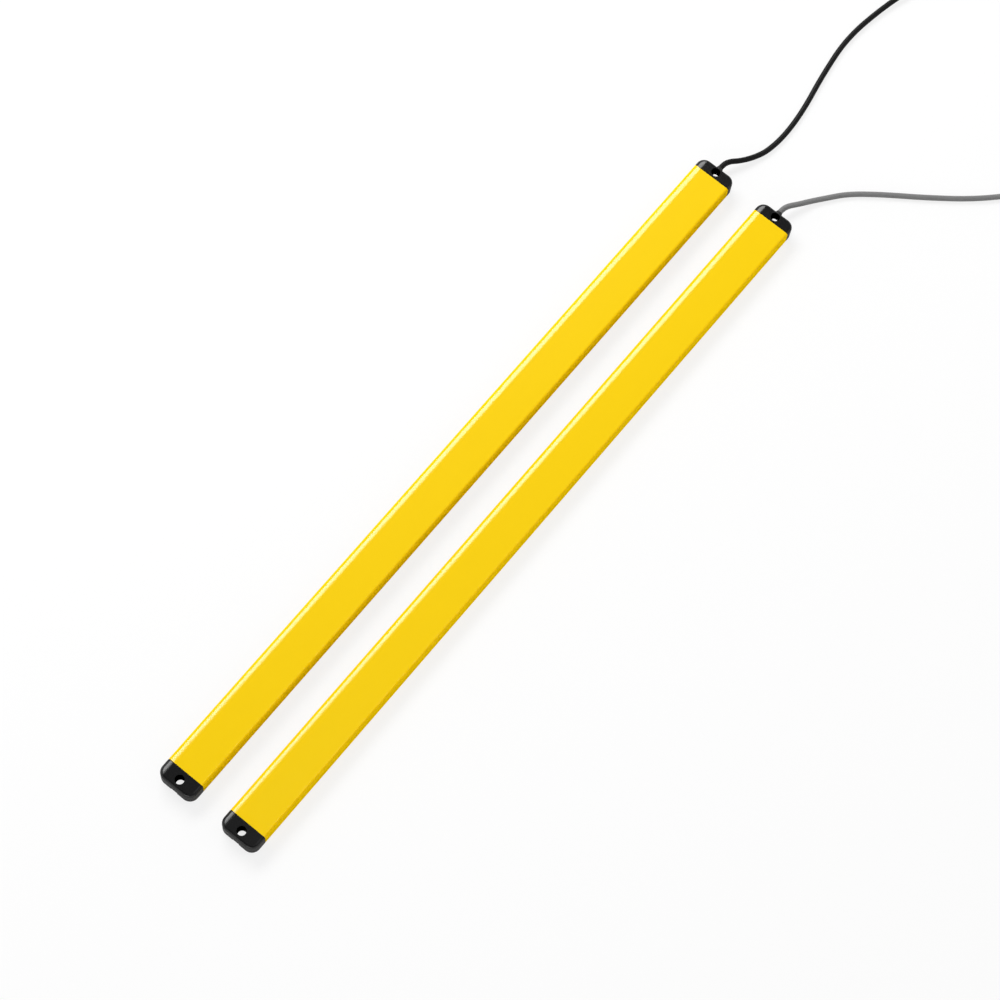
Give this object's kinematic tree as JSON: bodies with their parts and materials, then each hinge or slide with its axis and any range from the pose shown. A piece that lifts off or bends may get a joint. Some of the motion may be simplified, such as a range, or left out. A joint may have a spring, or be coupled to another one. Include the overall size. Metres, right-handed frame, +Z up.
{
  "type": "safety light curtain",
  "caption": "Slim safety light curtain pair, emitter and receiver bars lying side by side, yellow extrusions with black end caps, a mounting hole in each cap and short pigtail cables.",
  "frame": {"origin": "bottom centre of the two bars as they lie, cables left out", "axes": "+X across the bars from the emitter to the receiver, +Y along the bars towards the cable ends, +Z up, from the back faces to the printed faces"},
  "size_m": [0.255, 0.9198, 0.015],
  "materials": {
    "black_cable_jacket": "satin jacket",
    "black_cap_plastic": "fine moulded texture",
    "black_carrier_plastic": "matt moulded",
    "black_component_plastic": "moulded",
    "black_plug_plastic": "moulded",
    "black_rubber": "matt",
    "clear_acrylic": "polished",
    "gilt_brass": "gold plated",
    "green_board": "solder mask",
    "grey_cable_jacket": "satin jacket",
    "plated_brass": "nickel plated",
    "ribbon_film": "film",
    "smoked_acrylic": "polished, dark red tint",
    "white_diode_plastic": "moulded",
    "yellow_powder_coat": "semi-gloss powder coat",
    "zinc_steel": "zinc plated"
  },
  "bodies": {
    "root": {"emitter_board_parts": "black_component_plastic", "emitter_board_ribbon": "ribbon_film", "emitter_cable": "black_cable_jacket", "emitter_cable_bush": "black_rubber", "emitter_cable_cap": "black_cap_plastic", "emitter_cable_cap_screws": "zinc_steel", "emitter_cable_gasket": "black_rubber", "emitter_diode_board": "green_board", "emitter_foot_cap": "black_cap_plastic", "emitter_foot_gasket": "black_rubber", "emitter_foot_screws": "zinc_steel", "emitter_housing": "yellow_powder_coat", "emitter_lens_carrier": "black_carrier_plastic", "emitter_lens_strip": "clear_acrylic", "emitter_light_diodes": "white_diode_plastic", "emitter_main_board": "green_board", "emitter_plug_body": "black_plug_plastic", "emitter_plug_insert": "black_component_plastic", "emitter_plug_pins": "gilt_brass", "emitter_plug_shell": "plated_brass", "emitter_status_diodes": "white_diode_plastic", "emitter_status_guide": "clear_acrylic", "emitter_window": "smoked_acrylic", "emitter_window_seals": "black_rubber", "receiver_board_parts": "black_component_plastic", "receiver_board_ribbon": "ribbon_film", "receiver_cable": "grey_cable_jacket", "receiver_cable_bush": "black_rubber", "receiver_cable_cap": "black_cap_plastic", "receiver_cable_cap_screws": "zinc_steel", "receiver_cable_gasket": "black_rubber", "receiver_diode_board": "green_board", "receiver_foot_cap": "black_cap_plastic", "receiver_foot_gasket": "black_rubber", "receiver_foot_screws": "zinc_steel", "receiver_housing": "yellow_powder_coat", "receiver_lens_carrier": "black_carrier_plastic", "receiver_lens_strip": "clear_acrylic", "receiver_main_board": "green_board", "receiver_photodiodes": "black_component_plastic", "receiver_plug_body": "black_plug_plastic", "receiver_plug_insert": "black_component_plastic", "receiver_plug_pins": "gilt_brass", "receiver_plug_shell": "plated_brass", "receiver_status_diodes": "white_diode_plastic", "receiver_status_guide": "clear_acrylic", "receiver_window": "smoked_acrylic", "receiver_window_seals": "black_rubber"}
  },
  "joints": []
}
